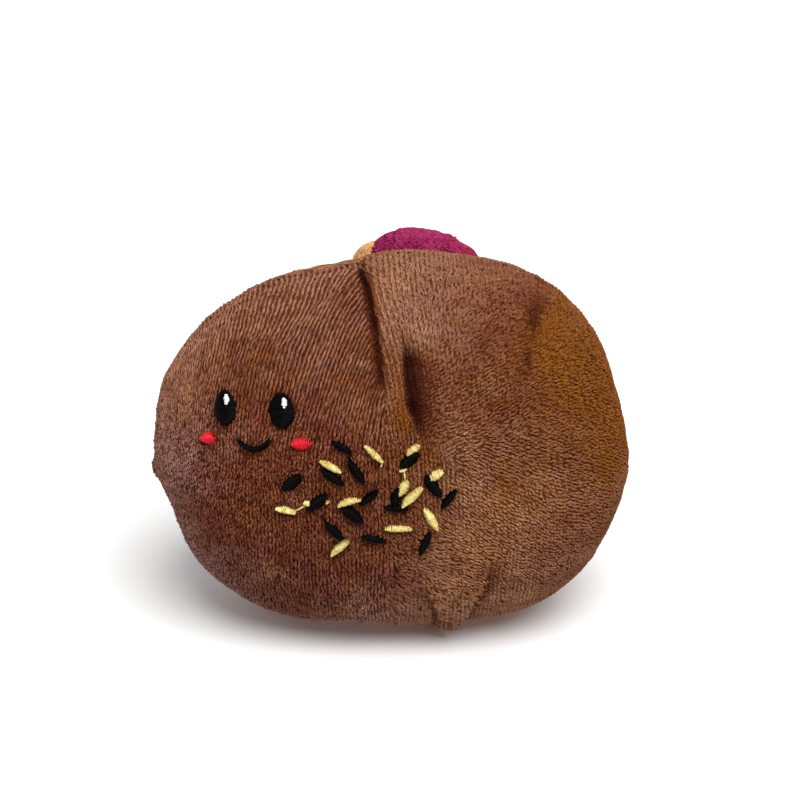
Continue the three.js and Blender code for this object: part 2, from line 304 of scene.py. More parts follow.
def skin(d):
    """The bun's skin along directions from its centre, with its flat spot."""
    d = unit(d)
    plain = d * plain_radius(d)[..., None]
    p = plain + d * rise(plain)[..., None]
    p[..., 2] = np.maximum(p[..., 2], 0.35 - CENTRE_UP)
    return p


def skin_normals(d, surface=skin, step=0.004):
    """Outward normals of a surface given along directions."""
    d = unit(d)
    side = unit(np.cross(d, np.array([0.13, 0.94, 0.31])))
    other = np.cross(d, side)
    a = surface(d + step * side) - surface(d - step * side)
    b = surface(d + step * other) - surface(d - step * other)
    n = unit(np.cross(a, b))
    return n * np.sign(dot(n, d))[..., None]


def around_x(lat, lon):
    """Directions on a ball with its poles at the seam ends: lon 0 is the front and a quarter turn is the top."""
    x = np.sin(lat)
    y = -np.cos(lat) * np.cos(lon)
    z = np.cos(lat) * np.sin(lon)
    return np.stack(np.broadcast_arrays(x, y, z), axis=-1)


def drawn_to_darts(d):
    """Moves directions so that the middle ring follows the darts, with its neighbours close to it."""
    plain = d * plain_radius(d)[..., None]
    x = plain[..., 0]
    drawn = DRAWN_SHARE * DRAWN_REACH * np.tanh(x / DRAWN_REACH)
    share = np.maximum(0, 1 - (x / HALF_LEFT) ** 2)
    back = smooth(plain[..., 1], 0, 24)
    front_across = path_across(RING_FRONT, plain[..., 2])
    back_across = path_across(RING_BACK, plain[..., 2])
    plain[..., 0] += share * ((1 - back) * front_across + back * back_across) - drawn
    return unit(plain)


def make_mesh(name, points, faces, material, values=None, uv=None):
    """A smooth piece from points in millimetres, faces of one size, and named values for each point."""
    mesh = bpy.data.meshes.new(name)
    faces = np.asarray(faces, np.int32)
    placed = (np.asarray(points) + (0, 0, CENTRE_UP)) * MM
    mesh.vertices.add(len(placed))
    mesh.vertices.foreach_set("co", placed.astype(np.float32).ravel())
    mesh.loops.add(faces.size)
    mesh.loops.foreach_set("vertex_index", faces.ravel())
    mesh.polygons.add(len(faces))
    mesh.polygons.foreach_set("loop_start", np.arange(len(faces), dtype=np.int32) * faces.shape[1])
    mesh.update(calc_edges=True)
    mesh.shade_smooth()
    for key, numbers in (values or {}).items():
        mesh.attributes.new(key, "FLOAT", "POINT").data.foreach_set("value", np.asarray(numbers, np.float32))
    if uv is not None:
        mesh.uv_layers.new(name="OFBake").data.foreach_set("uv", uv[faces.ravel()].astype(np.float32).ravel())
    mesh.materials.append(material)
    piece = bpy.data.objects.new(name, mesh)
    bpy.context.scene.collection.objects.link(piece)
    return piece


def ball_faces(rings, around):
    """Quads between rings of points that close on themselves, first and last ring being the ends."""
    i, j = np.meshgrid(np.arange(rings - 1), np.arange(around), indexing="ij")
    a = i * around + j
    b = i * around + (j + 1) % around
    return np.stack([a, b, b + around, a + around], axis=-1).reshape(-1, 4)


# Materials


def new_material(name):
    material = bpy.data.materials.new(name)
    material.use_nodes = True
    return material, material.node_tree.nodes, material.node_tree.links


def linear(colour):
    """An sRGB colour of 0 to 255 as Blender's linear one."""
    c = np.array(colour, float) / 255
    return (*np.where(c < 0.04045, c / 12.92, ((c + 0.055) / 1.055) ** 2.4), 1)


def noise_node(nodes, links, scale, detail=3):
    place = nodes.new("ShaderNodeTexCoord")
    node = nodes.new("ShaderNodeTexNoise")
    node.inputs["Scale"].default_value = scale
    node.inputs["Detail"].default_value = detail
    links.new(place.outputs["Object"], node.inputs["Vector"])
    return node.outputs["Fac"]


def ramp(nodes, links, source, stops):
    node = nodes.new("ShaderNodeValToRGB")
    elements = node.color_ramp.elements
    while len(elements) < len(stops):
        elements.new(0.5)
    for element, (at, colour) in zip(elements, stops):
        element.position = at
        element.color = colour
    links.new(source, node.inputs["Fac"])
    return node.outputs["Color"]


def mix(nodes, links, blend, factor, first, second):
    node = nodes.new("ShaderNodeMix")
    node.data_type = "RGBA"
    node.blend_type = blend
    for socket, value in ((node.inputs["Factor"], factor), (node.inputs[6], first), (node.inputs[7], second)):
        if isinstance(value, bpy.types.NodeSocket):
            links.new(value, socket)
        else:
            socket.default_value = value
    return node.outputs[2]


def value_of(nodes, name):
    node = nodes.new("ShaderNodeAttribute")
    node.attribute_name = name
    return node.outputs["Fac"]


def pile_material(name, plain, pale_and_lit, warm, grey_and_sheen, sheen, sheen_colour):
    """Short pile in four shades, each given by its roots and its tips, which mix as the strands' values say. The roots
    are darker than the tips, partly as painted shade deep in the pile.
    """
    material, nodes, links = new_material(name)
    shader = nodes["Principled BSDF"]
    along = value_of(nodes, "along")
    colour, *others = [ramp(nodes, links, along, [(0.0, linear(root)), (0.9, linear(tip))])
                       for root, tip in (plain, pale_and_lit, warm, grey_and_sheen)]
    for key, shade in zip(("pale_and_lit", "warm", "grey_and_sheen"), others):
        colour = mix(nodes, links, "MIX", value_of(nodes, key), colour, shade)
    # Tone multiplies the colour: low tones are the painted shade of the creases, of the streak and between rows, and
    # random tone spreads around the middle.
    shade = ramp(nodes, links, value_of(nodes, "tone"), [(0.0, (0.26, 0.1, 0.03, 1)), (0.35, (0.64, 0.54, 0.46, 1)),
                                                           (0.6, (0.95, 0.95, 0.95, 1)), (1.0, (1.4, 1.4, 1.4, 1))])
    links.new(mix(nodes, links, "MULTIPLY", 1.0, colour, shade), shader.inputs["Base Color"])
    shader.inputs["Roughness"].default_value = 0.7
    shader.inputs["Specular IOR Level"].default_value = 0.12
    shader.inputs["Sheen Weight"].default_value = sheen
    shader.inputs["Sheen Roughness"].default_value = 0.35
    shader.inputs["Sheen Tint"].default_value = linear(sheen_colour)
    return material


def skin_material(name, low, high, pale_and_lit):
    """The knitted ground under the pile, its dark colour partly painted shade between the strands, and lighter where
    the pile is pale and lit.
    """
    material, nodes, links = new_material(name)
    shader = nodes["Principled BSDF"]
    speckle = noise_node(nodes, links, 900)
    plain = ramp(nodes, links, speckle, [(0.35, linear(low)), (0.65, linear(high))])
    lighter = ramp(nodes, links, speckle, [(0.35, linear([0.8 * part for part in pale_and_lit])), (0.65, linear(pale_and_lit))])
    links.new(mix(nodes, links, "MIX", value_of(nodes, "pale_and_lit"), plain, lighter), shader.inputs["Base Color"])
    shader.inputs["Roughness"].default_value = 0.9
    shader.inputs["Specular IOR Level"].default_value = 0.15
    bump = nodes.new("ShaderNodeBump")
    bump.inputs["Strength"].default_value = 0.5
    bump.inputs["Distance"].default_value = 0.0003
    links.new(noise_node(nodes, links, 1400), bump.inputs["Height"])
    links.new(bump.outputs["Normal"], shader.inputs["Normal"])
    return material


def thread_material(name, dark, light, roughness=0.42, specular=0.3):
    """Shiny embroidery thread."""
    material, nodes, links = new_material(name)
    shader = nodes["Principled BSDF"]
    colour = ramp(nodes, links, noise_node(nodes, links, 700), [(0.3, linear(dark)), (0.7, linear(light))])
    links.new(colour, shader.inputs["Base Color"])
    shader.inputs["Roughness"].default_value = roughness
    shader.inputs["Specular IOR Level"].default_value = specular
    return material


# Pile


def strands(roots, normals, headings, length, half_width, lift, tone, pale_and_lit, warm, grey_and_sheen):
    """Closed leaf-shaped strands of pile, each of four points and four faces, and their values and map."""
    n = len(roots)
    reach = headings * length[:, None]
    wide = unit(np.cross(normals, headings)) * half_width[:, None]
    up = normals * lift[:, None]
    middle = roots + 0.45 * reach + 0.92 * up
    points = np.stack([roots - 0.3 * normals, middle - wide, middle + wide, roots + reach + 0.65 * up], axis=1)
    points[..., 2] = np.maximum(points[..., 2], FLOOR_GAP - CENTRE_UP)
    leaf = np.array([(0, 2, 1), (1, 2, 3), (0, 1, 3), (2, 0, 3)])
    faces = (np.arange(n)[:, None, None] * 4 + leaf).reshape(-1, 3)
    columns = math.ceil(math.sqrt(n))
    cell = np.stack([np.arange(n) % columns, np.arange(n) // columns], axis=-1)
    spot = np.array([(0.1, 0.5), (0.5, 0.1), (0.5, 0.9), (0.9, 0.5)])
    uv = ((cell[:, None, :] + spot) / columns).reshape(-1, 2)
    values = {"along": np.tile([0.0, 0.5, 0.5, 1.0], n)}
    for key, numbers in (("tone", tone), ("pale_and_lit", pale_and_lit), ("warm", warm), ("grey_and_sheen", grey_and_sheen)):
        values[key] = np.repeat(numbers, 4)
    return points.reshape(-1, 3), faces, values, uv


FLOOR_GAP = 0.04
# Where the pile of the front's darts is painted dark as shade in their creases: the middle, the widths left and right
# of it, and how dark.
SHADED_CREASES = [(-0.9, 1.0, 0.7, 1.5), (1.4, 1.0, 4.2, 1.8), (1.4, 0.9, 2.4, 0.7), (-0.6, 1.2, 0.8, 0.5)]
ROW_PITCH_LEFT = 1.08
ROW_PITCH_RIGHT = 1.16
TUFT_STEP = 1.1
STRANDS_EACH = 4  # in a tuft of a row, and twice as many where two rows merge
STRAND_LENGTH = 2.6
STRAND_HALF_WIDTH = 0.19
TUFT_SPREAD = 0.11
TUFT_REACH = 0.8
FILL_STEP = 0.72

# Where the nap shows warmer: across, up, reach and share.
WARM_SPOTS = [
    (56, 26, 11, 0.7), (66, 5, 9, 0.8), (51, 44, 9, 0.7), (62, 34, 10, 0.6), (68, 20, 8, 0.7), (-35, 38, 9, 0.4),
    (2.4, 31, 3, 0.8), (3.4, 25.5, 3, 0.7), (34, 34, 16, 0.25), (-42, 4, 12, 0.2), (42, 6, 12, 0.3), (-8, 33, 8, 0.3),
    (10, 16, 9, 0.3), (2.2, 37, 2.5, 0.5), (48, 38, 13, 0.4), (70, 12, 9, 0.3), (66, 30, 7, 0.4),
    (31, 6, 5, 0.25), (30, -4, 5, 0.3), (29, -14, 4.5, 0.4), (27.5, -23, 4, 0.45), (25, -32, 3, 0.3),
]

# Where the pile is painted paler as light, and with a negative share darker as shade: across, up, reach and share.
PAINTED_LIGHT_SPOTS = [(6, 56, 13, 0.38), (24, 52, 12, 0.2), (27, -8, 14, 0.35), (30, -40, 20, 0.48), (52, -22, 14, -0.1),
              (-4, -42, 16, 0.4), (44, 40, 17, -0.55), (22, 50, 12, -0.3), (-32, 34, 12, -0.3), (14, -14, 9, 0.12),
              (-10, 44, 9, -0.1), (22, 8, 10, 0.3), (38, 2, 13, 0.25)]

# Path of a streak of painted shade on the right side, from top to bottom: across and up.
SHADE_STREAK = [(45.5, 56), (44, 51.5), (42.6, 46), (41.2, 41), (39.2, 37)]

# Where the pile is painted greyer, mostly as rim sheen along the outline: across, up, reach and share.
GREY_AND_SHEEN_SPOTS = [(52, -26, 14, 0.15), (-66, 6, 11, 0.55), (-4, -48, 18, 0.5), (16, -22, 12, 0.05), (-48, -30, 14, 0.3), (30, -44, 12, 0.3),
              (-24, 46, 14, 0.2), (8, 55, 14, 0.3), (22, 8, 10, 0.15),
              (-56, 22, 12, 0.15)]

# How the pile of the front is combed: across, up and the strands' angle, in degrees from straight down towards the
# right. Opposite angles look alike, so that 90 is level either way.
COMBED_LEFT = [
    (-30, 56, -28), (-15, 59, -35), (-6, 54, -35), (-4, 44, -30), (-20, 47, -24), (-41, 43, -12), (-56, 35, -8),
    (-67, 16, -3), (-17, 35, -14), (-26, 24, -4), (-50, 7, 3), (-12, 17, 0), (-42, -21, 8), (-27, -34, 27),
    (-6, -33, 27), (3, -14, 0), (-60, -6, 2), (-8, 2, 2),
]
COMBED_RIGHT = [
    (-1, 61, 38), (2, 55, 33), (2, 44, 25), (10, 60, 12), (11, 54, -5), (16, 58, -15), (17, 45, -35), (27, 58, -45),
    (26, 47, -62), (42, 54, -52), (37, 42, -55), (31, 30, -40), (55, 46, -45), (62, 32, -78), (49, 35, -80),
    (55, 18, -85), (17, 33, -48), (20, 22, -65), (28, 13, 60), (40, -1, 48), (26, -5, 55), (62, -3, 88),
    (50, -23, 57), (32, -31, 50), (24, -34, 60), (46, -40, 75), (63, -21, 83), (9, -33, 38), (14, -23, 80),
    (17, -13, 70), (8, 12, 6), (9, 2, 10),
]
COMB_REACH = 6.5


def combed_parts(table, p):
    level = np.zeros(p.shape[:-1])
    steep = np.zeros(p.shape[:-1])
    for across, up, angle in table:
        weight = np.exp(-np.hypot(p[..., 0] - across, p[..., 2] - up) / COMB_REACH)
        level += weight * math.sin(math.radians(2 * angle))
        steep += weight * math.cos(math.radians(2 * angle))
    return level, steep


def combed_angle(p):
    """The strands' angle over the front, as an orientation, with the top dart parting it."""
    left = combed_parts(COMBED_LEFT, p)
    right = combed_parts(COMBED_RIGHT, p)
    off = p[..., 0] - path_across(DARTS[0]["path"], p[..., 2])
    parted = smooth(p[..., 2], 14, 30)
    share = np.clip(0.5 + off / 6, 0, 1) * (1 - parted) + (off > 0) * parted
    level = left[0] * (1 - share) + right[0] * share
    steep = left[1] * (1 - share) + right[1] * share
    return np.arctan2(level, steep) / 2


def left_of_dart(p):
    """1 on the panel left of the top dart, and 0 elsewhere."""
    return (p[..., 1] < 16) & (p[..., 0] < path_across(DARTS[0]["path"], p[..., 2]))


def bend_left(p):
    """How far the rows of pile left of the top dart are shifted sideways, so that they lean towards it."""
    climb = np.maximum(p[..., 2] - 6, 0) ** 2 / 96
    lean = (1 - smooth(p[..., 1], 10, 26)) * 0.62 * climb * np.clip((p[..., 0] + 75) / 65, 0, 1)
    return lean + 0.3 * waves(p, 24, 48)


def bend_right(p):
    """The same right of it."""
    off = np.maximum(p[..., 0] - path_across(DARTS[0]["path"], p[..., 2]), 0)
    climb = np.maximum(p[..., 2] - 6, 0) ** 2 / 96
    return (1 - smooth(p[..., 1], 10, 26)) * -0.4 * climb * np.exp(-off / 30)


def rows_of_pile(bend, pitch, tuft_step, rng):
    """Places of tufts in rows that run down the bun, their rows' directions and the numbers of the rows."""
    lat = np.radians(np.linspace(-89, 89, 357))
    lon = np.radians(np.linspace(0, 360, 721))
    grid = plain_form(around_x(lat[:, None], lon[None, :]))
    steps = np.linalg.norm(np.diff(grid, axis=0), axis=-1)
    across = np.concatenate([np.zeros((1, len(lon))), np.cumsum(steps, axis=0)])
    across -= across[len(lat) // 2]
    across = np.maximum.accumulate(across - bend(grid), axis=0)
    rows = np.arange(math.floor(across.min() / pitch), math.ceil(across.max() / pitch))
    row_lat = np.array([np.interp(rows * pitch, across[:, j], lat, left=np.nan, right=np.nan)
                        for j in range(len(lon))]).T
    places, ways, numbers = [], [], []
    for k, line in zip(rows, row_lat):
        inside = ~np.isnan(line)
        if inside.sum() < 8:
            continue
        known, at = line[inside], lon[inside]
        place = skin(around_x(known, at))
        step = np.linalg.norm(np.diff(place, axis=0), axis=-1)
        step[np.diff(at) > 0.02] = 0
        length = np.concatenate([[0], np.cumsum(step)])
        count = int(length[-1] / tuft_step)
        if count < 3:
            continue
        spots = (np.arange(count) + 0.5 * (k % 2) + rng.uniform(0.1, 0.6, count)) * tuft_step
        before, here, after = [around_x(np.interp(spots + away, length, known), np.interp(spots + away, length, at))
                               for away in (-0.5, 0, 0.5)]
        places.append(here)
        ways.append(unit(skin(before) - skin(after)))
        numbers.append(np.full(count, k))
    return np.concatenate(places), np.concatenate(ways), np.concatenate(numbers)


def seen_heading(normals, angle):
    """Directions along the surface that look turned by an angle from straight down to the right in the front view."""
    e = math.radians(VIEW_ELEVATION)
    toward = np.array([0, -math.cos(e), math.sin(e)])
    above = np.array([0, math.sin(e), math.cos(e)])
    wanted = np.sin(angle)[..., None] * np.array([1.0, 0, 0]) - np.cos(angle)[..., None] * above
    facing = np.maximum(dot(normals, toward), 0.25)
    return unit(wanted - toward * (dot(wanted, normals) / facing)[..., None])


def near_patch(p, patch):
    """1 on the edge of an embroidered oval, less inside it and more outside."""
    (middle, long_axis, cross, out), half_long, half_wide = patch
    away = p - middle
    near = np.hypot(dot(away, long_axis) / half_long, dot(away, cross) / half_wide)
    return np.where(np.abs(dot(away, out)) < 6, near, 99)


def right_share(p):
    """1 on the front's right side, where the pile is painted paler as light and sheen, and 0 on its left."""
    off = p[..., 0] - path_across(DARTS[0]["path"], p[..., 2])
    upper = smooth(p[..., 2], 14, 30)
    return smooth(off, -1, 1) * upper + smooth(p[..., 0], -6, 24) * (1 - upper)


def low_rim_sheen(p):
    """1 around the lower left of the front, where the pile is seen from its side and is painted greyer as rim sheen."""
    return (1 - smooth(p[..., 0], -20, 4)) * (1 - smooth(p[..., 2], -12, 4)) * smooth(p[..., 1], -36, -20)


def high_rim_light(p):
    """1 on the upper left of the front, where its outline is seen and the low pile is painted lighter as rim light."""
    return (1 - right_share(p)) * smooth(p[..., 1], -26, 0) * smooth(p[..., 2], 5, 30)


def untidy(p):
    """1 where the pile of the front lies in no clear rows, at its lower left."""
    return (1 - smooth(p[..., 0], -12, 22)) * (1 - smooth(p[..., 2], 8, 40)) * (1 - smooth(p[..., 1], 0, 20))


def in_clear_rows(p):
    """1 where the pile of the front lies in clear rows, on the panel right of the top dart."""
    return smooth(p[..., 0], 6, 24) * (1 - smooth(p[..., 2], 50, 60)) * (1 - smooth(p[..., 1], 0, 20))


def in_shaded_creases(p, wider=1.0):
    """1 in the creases of the front's darts, where the pile is painted dark as shade, and less around them."""
    total = 0
    for dart, (middle, left_wide, right_wide, depth) in zip(DARTS, SHADED_CREASES):
        off = dart_offset(dart, p) - middle
        wide = np.where(off < 0, left_wide, right_wide * wider)
        total = total + depth * bell(off / wide) * dart_strength(dart, p) ** 1.5
    return np.minimum(total, 1)


def in_shade_streak(p):
    """1 on a streak of painted shade, as of a soft crease where the nap of the right side parts, and less beside it."""
    off = p[..., 0] - path_across(SHADE_STREAK, p[..., 2]) + 0.7 * waves(p, 5, 46)
    wide = 1.3 + 1.7 * smooth(p[..., 2], 41, 49)
    inside = smooth(p[..., 2], 34, 38) * (1 - smooth(p[..., 2], 49, 54)) * (1 - smooth(p[..., 1], 0, 20))
    inside = inside * (1 - 0.6 * bell((p[..., 2] - 43.5) / 1.6))
    return bell(off / wide) * inside * smooth(waves(p, 3, 47), -1.8, -0.3)


def shades_of_pile(p, rng):
    """How pale and lit, how warm and how grey the strands are: their paleness is mostly painted light and shade, their
    greyness mostly painted rim sheen.
    """
    front = 1 - smooth(p[..., 1], 0, 20)
    right = right_share(p)
    # The front is painted paler where light falls: on its right side, towards the top of its left side, and at its left
    # end and along its upper left outline as painted sheen; the back and random waves vary it too.
    left_painted_light = 0.28 * smooth(p[..., 2], 0, 45) + 0.3 * smooth(-p[..., 0], 56, 72)
    left_painted_light = left_painted_light + 0.15 * smooth(p[..., 1], -28, -6) * smooth(p[..., 2], 0, 30)
    pale_and_lit = front * (0.38 * right + left_painted_light * (1 - right)) + (1 - front) * (0.35 + 0.25 * waves(p, 50, 36))
    pale_and_lit = pale_and_lit + 0.12 * front * waves(p, 17, 50)
    pale_and_lit = pale_and_lit + 0.22 * front * (1 - smooth(p[..., 2], -42, -14)) * waves(p, 7, 51)
    for across, up, reach, share in PAINTED_LIGHT_SPOTS:
        pale_and_lit = pale_and_lit + front * share * bell(np.hypot(p[..., 0] - across, p[..., 2] - up) / reach)
    warm = np.maximum(0, 0.15 + 0.3 * waves(p, 30, 37)) * (0.4 + 0.6 * (1 - front))
    for across, up, reach, share in WARM_SPOTS:
        warm = warm + front * share * bell(np.hypot(p[..., 0] - across, p[..., 2] - up) / reach)
    pale_and_lit = pale_and_lit + 0.1 * waves(p, 9, 38) + rng.normal(0, 0.08, p.shape[:-1])
    warm = warm + 0.1 * waves(p, 7, 39) + rng.normal(0, 0.05, p.shape[:-1])
    # Rim sheen is painted as greyer pile around the lower left and along the upper left outline; random waves add to
    # it.
    grey_and_sheen = 0.55 * front * low_rim_sheen(p)
    grey_and_sheen = grey_and_sheen + 0.15 * front * (1 - right) * smooth(p[..., 1], -28, -6) * smooth(p[..., 2], 0, 30)
    for across, up, reach, share in GREY_AND_SHEEN_SPOTS:
        grey_and_sheen = grey_and_sheen + front * share * bell(np.hypot(p[..., 0] - across, p[..., 2] - up) / reach)
    grey_and_sheen = grey_and_sheen + 0.08 * waves(p, 8, 45) + rng.normal(0, 0.05, p.shape[:-1])
    # Paleness and greyness are taken out in the creases and on the streak, so that their painted shade stays dark.
    plain = (1 - in_shaded_creases(p, 2)) * (1 - in_shade_streak(p))
    return [np.clip(pale_and_lit, 0, 1) * plain, np.clip(warm, 0, 1), np.clip(grey_and_sheen, 0, 1) * plain]


def headings_of(plain, normals, ways, rng):
    """Which way the pile lies, and how much it leans over its rows."""
    angle = combed_angle(plain)
    n = len(plain)
    flip = 0.35 * np.sin(angle) + 0.94 * np.cos(angle) + 0.2 * waves(plain, 5, 30) + rng.normal(0, 0.15, n)
    leaning = smooth(np.abs(np.sin(angle)), 0.55, 0.8) * (1 - smooth(plain[..., 1], 6, 14))
    loose = untidy(plain)
    angle = angle + math.pi * (flip < 0) + 0.12 * waves(plain, 12, 31) + (0.1 + 0.12 * loose) * waves(plain, 4, 32)
    angle = angle + rng.normal(0, 1, n) * (0.05 + 0.12 * loose)
    back_angle = 0.35 * waves(plain, 40, 33) + 0.15 * waves(plain, 12, 34) + rng.normal(0, 0.08, n)
    back = smooth(seam_distance(plain), -1, 1)[..., None]
    down = -ways - back_angle[..., None] * np.cross(normals, ways)
    turn = (0.04 + 0.11 * loose) * waves(plain, 4, 32) + rng.normal(0, 1, n) * (0.02 + 0.11 * loose)
    in_rows = ways + turn[..., None] * np.cross(normals, ways)
    follow = (left_of_dart(plain) * (0.9 - 0.3 * loose))[..., None]
    heading = follow * in_rows + (1 - follow) * seen_heading(normals, angle)
    heading = (1 - back) * heading + back * down
    return unit(heading - dot(heading, normals)[..., None] * normals), leaning


def pile_sites(tuft_step, rng):
    """Directions of the tufts' places, and the directions and the numbers of their rows."""
    parts = []
    for bend, pitch, wanted in ((bend_left, ROW_PITCH_LEFT, True), (bend_right, ROW_PITCH_RIGHT, False)):
        d, ways, rows = rows_of_pile(bend, pitch, tuft_step, rng)
        inside = left_of_dart(d * plain_radius(d)[..., None]) == wanted
        parts.append((d[inside], ways[inside], rows[inside]))
    return [np.concatenate(values) for values in zip(*parts)]


def layer_of_pile(patches, rng, low):
    """One layer of the pile: tufts in rows, or the low pile between them."""
    d, ways, rows = pile_sites(FILL_STEP if low else TUFT_STEP, rng)
    plain = d * plain_radius(d)[..., None]
    roots = skin(d)
    keep = in_opening(plain) > 1.02
    for patch in patches:
        keep &= near_patch(roots, patch) > 0.88
    d, plain, ways, rows, roots = d[keep], plain[keep], ways[keep], rows[keep], roots[keep]
    at_seam = bell(seam_distance(plain) / 3)[:, None]
    normals = unit(skin_normals(d) * (1 - at_seam) + skin_normals(d, plain_form) * at_seam)
    heading, leaning = headings_of(plain, normals, ways, rng)
    side = np.cross(normals, heading)
    if low:
        each = np.ones(len(d), int)
    else:
        merged = rng.uniform(size=len(d)) < 0.2 * leaning
        each = np.where(merged, np.where(rows % 2 == 0, 2 * STRANDS_EACH, 0), STRANDS_EACH)
    tone = np.repeat(rng.normal(size=len(d)), each)
    roots, normals, heading, side, plain = [np.repeat(v, each, axis=0) for v in (roots, normals, heading, side, plain)]
    n = len(roots)
    clump = waves(plain, 4, 35)
    loose = untidy(plain)
    front = 1 - smooth(plain[..., 1], 0, 20)
    right = right_share(plain) * front
    fine = left_of_dart(plain)
    flap = (1 - fine) * smooth(plain[..., 2], 34, 46) * front
    flap_mess = (0.5 + 0.4 * smooth(plain[..., 2], 44, 54)) * flap
    neat = np.maximum(in_clear_rows(plain) * (1 - flap_mess), (0.75 + 0.25 * fine) * front * (1 - flap_mess) * (1 - 0.45 * loose))
    long = np.maximum(fine * (1 - loose), 0.5 * flap)
    lined = fine * (1 - loose) * smooth(plain[..., 2], 10, 30) * (0.4 + 0.6 * smooth(plain[..., 0], -42, -20))
    lined = lined * (0.55 + 0.45 * smooth(waves(plain, 12, 49), -1, 0.6))
    if low:
        roots = roots + rng.normal(0, 0.4, n)[:, None] * side + rng.normal(0, 0.4, n)[:, None] * heading
        length = STRAND_LENGTH * rng.uniform(0.6, 0.9, n) * (1 + 0.5 * long)
        lift = PILE * rng.uniform(0.35, 0.65, n) * (1 - 0.3 * fine)
        half_width = STRAND_HALF_WIDTH * rng.uniform(1.5, 2.1, n)
        # The low pile between the tufts is darker as painted shade, less so on the right side, and is painted lighter
        # along the upper left outline as rim light.
        tone = 0.24 - 0.08 * fine + 0.26 * right + 0.24 * high_rim_light(plain) + 0.08 * rng.normal(size=n)
        tone = np.clip(tone, 0, 1)
    else:
        spread = rng.normal(0, 1, n) * (TUFT_SPREAD + 0.2 * (1 - neat))
        slide = rng.uniform(-TUFT_REACH, TUFT_REACH, n) * (1 - 0.45 * right) - 0.4
        roots = roots + spread[:, None] * side + slide[:, None] * heading
        length = STRAND_LENGTH * rng.uniform(0.75, 1.2, n) * (1 + 0.6 * long - 0.2 * loose - 0.2 * right)
        lift = PILE * (0.95 - 2.4 * spread ** 2 * neat + 0.05 * clump - 0.2 * long)
        lift += PILE * rng.normal(0, 0.08, n) * (1 + loose - 0.5 * long)
        half_width = STRAND_HALF_WIDTH * rng.uniform(0.8, 1.25, n) * (1 - 0.2 * np.maximum(fine, flap))
        # Where rows are clear, tufts are darker towards the edges of their rows, as painted shade between the rows; the
        # rest of the tone is random.
        tone = (0.06 + 0.06 * fine) * tone + (0.1 + 0.12 * fine - 0.08 * lined) * rng.normal(size=n)
        tone = tone + (0.05 + 0.05 * fine) * clump - 0.13 * lined * (np.minimum((spread / TUFT_SPREAD) ** 2, 3) - 0.8)
        tone = np.clip(0.58 + 0.04 * lined + tone, 0, 1)
    # Painted shade: the tone is darkened in the creases and on the streak; in the creases the strands are also shorter
    # and lower.
    shaded_crease = in_shaded_creases(plain)
    tone = tone * (1 - 0.95 * shaded_crease) * (1 - 0.85 * in_shade_streak(plain))
    length = length * (1 - 0.45 * shaded_crease) * (1 - 0.4 * bell(seam_distance(plain) / 3))
    edge = sum(bell(dart_offset(dart, plain)) * dart_strength(dart, plain) for dart in DARTS)
    lift = lift * (1 - 0.45 * shaded_crease) * (1 - 0.6 * np.minimum(edge, 1))
    heading = unit(heading + side * (rng.normal(0, 0.06, n) * (1 - 0.6 * lined))[:, None])
    lift = lift * (1 - 0.45 * bell(seam_distance(plain) / 1.4))
    lift = np.where(plain[..., 2] < 3 - CENTRE_UP, lift * 0.5, lift)
    for patch in patches:
        clear = smooth(near_patch(roots, patch), 0.8, 1.8)
        lift = lift * (0.6 + 0.4 * clear)
        length = length * (0.6 + 0.4 * clear)
    pale_and_lit, warm, grey_and_sheen = shades_of_pile(plain, rng)
    return roots, normals, heading, length, half_width, lift, tone, pale_and_lit, warm, grey_and_sheen, plain


def pile_of_bun(patches):
    """The strands' roots, normals, headings, lengths, half-widths, lifts, tones, shades and places on the bun."""
    rng = np.random.default_rng(21)
    layers = [layer_of_pile(patches, rng, low) for low in (False, True)]
    return [np.concatenate(parts) for parts in zip(*layers)]


# Embroidery

# Seeds: across, up, turn in degrees, half-length and half-width.
BLACK_SEEDS = [
    (-13.9, 17.5, 154, 3.2, 1.0), (-9.9, 10.5, 124, 4.2, 1.2), (-16.7, 8.7, 143, 3.9, 1.2), (-28.3, 6.7, 37, 3.9, 1.6),
    (-21.1, 1.1, 41, 3.9, 1.6), (5.4, 14, 39, 3.5, 1.5), (11.9, 6.2, 126, 4, 1.4), (16.7, 2.2, 52, 3.6, 1.1),
    (-6.2, 2.7, 40, 3.4, 1.1), (-11.1, -2.6, 144, 3.7, 1.55), (1.5, -0.6, 176, 3.5, 1.1), (1.6, 3, 78, 3, 1.5),
    (-16.5, -7.9, 131, 3.6, 1.3), (-4.9, -10.1, 170, 3.6, 1.1), (9.9, -11.8, 67, 3.9, 1.2),
]
YELLOW_SEEDS = [
    (-17.2, 11.8, 152, 3.5, 1.1), (-4.9, 15.6, 137, 3.6, 1), (6.4, 16.9, 42, 2.4, 1.2), (13, 9.3, 32, 2.3, 1.4),
    (3.8, 5.8, 60, 2.6, 1.4), (6.2, 3, 45, 4.2, 1.3), (-11.9, 1.2, 17, 3.5, 1.1), (-30.3, -2.2, 172, 3.1, 1),
    (11.4, -4, 121, 4, 1.3), (2.1, -6.9, 178, 3.9, 1), (-14.7, -13.2, 48, 3.9, 1.2),
]
# Middles of the seeds that lie over their neighbours.
RAISED_SEEDS = [(5.4, 14), (11.9, 6.2), (-21.1, 1.1), (3.8, 5.8), (6.2, 3), (-11.1, -2.6), (-6.2, 2.7)]
BOWED_SEED = (-11.9, 1.2)
BOW = 0.5
YELLOW_STUBS = [(3.5, 11, 21, 1.1, 0.6), (-24.1, 0.5, -15, 1.0, 0.8), (-18.2, 1.2, 25, 0.5, 0.3)]
